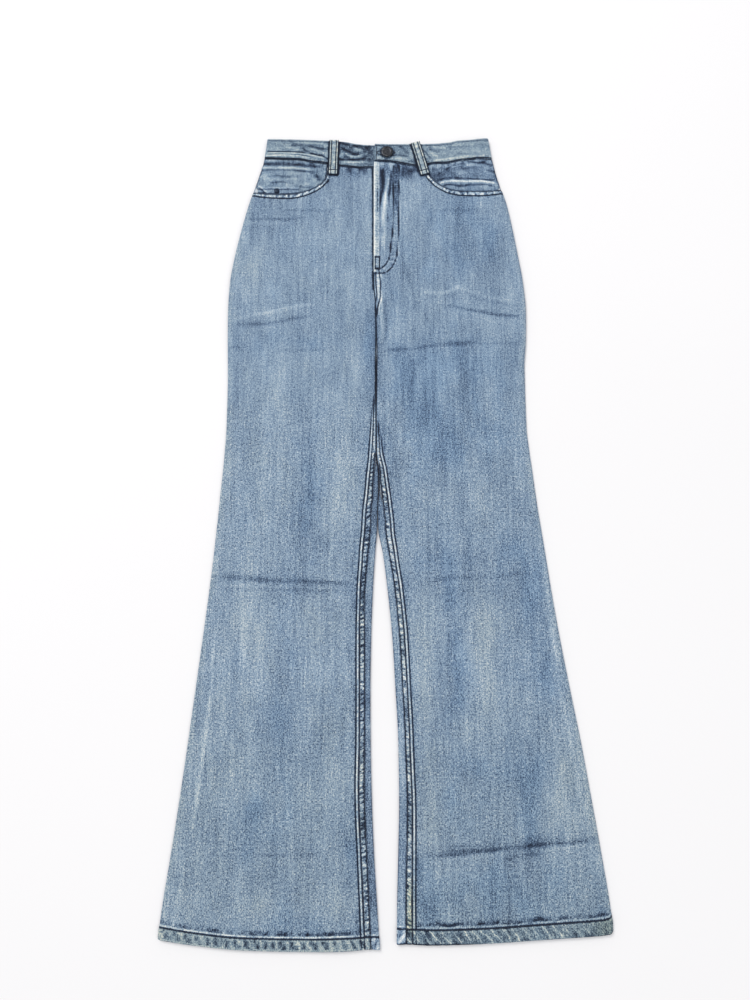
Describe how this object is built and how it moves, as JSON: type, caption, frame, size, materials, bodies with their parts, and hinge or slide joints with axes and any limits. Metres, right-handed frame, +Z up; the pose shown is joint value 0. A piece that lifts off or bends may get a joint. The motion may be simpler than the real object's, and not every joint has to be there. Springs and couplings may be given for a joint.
{
  "type": "flared jeans laid flat",
  "caption": "Washed blue denim flared jeans lying flat, front up, with scoop pockets, fly, waistband and belt loops.",
  "frame": {"origin": "centre of the garment's footprint, on the surface it lies on", "axes": "+Y from the hems to the waist, +Z up from the surface through the front of the garment, +X towards the wearer's left"},
  "size_m": [0.5818, 1.1314, 0.0122],
  "materials": {
    "denim": "washed twill",
    "denim_inside": "twill wrong side",
    "thread": "topstitching thread",
    "zip_tape": "woven tape",
    "metal": "aged"
  },
  "bodies": {
    "root": {"front_right_leg": "denim", "front_left_leg": "denim", "back_right_leg": "denim", "back_left_leg": "denim", "yoke_right": "denim", "yoke_left": "denim", "waistband": "denim", "belt_loop_front_right": "denim", "belt_loop_front_left": "denim", "belt_loop_side_right": "denim", "belt_loop_side_left": "denim", "belt_loop_back": "denim", "pocket_facing_right": "denim", "pocket_facing_left": "denim", "coin_pocket": "denim", "back_pocket_right": "denim", "back_pocket_left": "denim", "fly_shield": "denim_inside", "coin_rivet": "metal", "waist_button": "metal", "zip_slider": "metal", "zip": "zip_tape"}
  },
  "joints": []
}
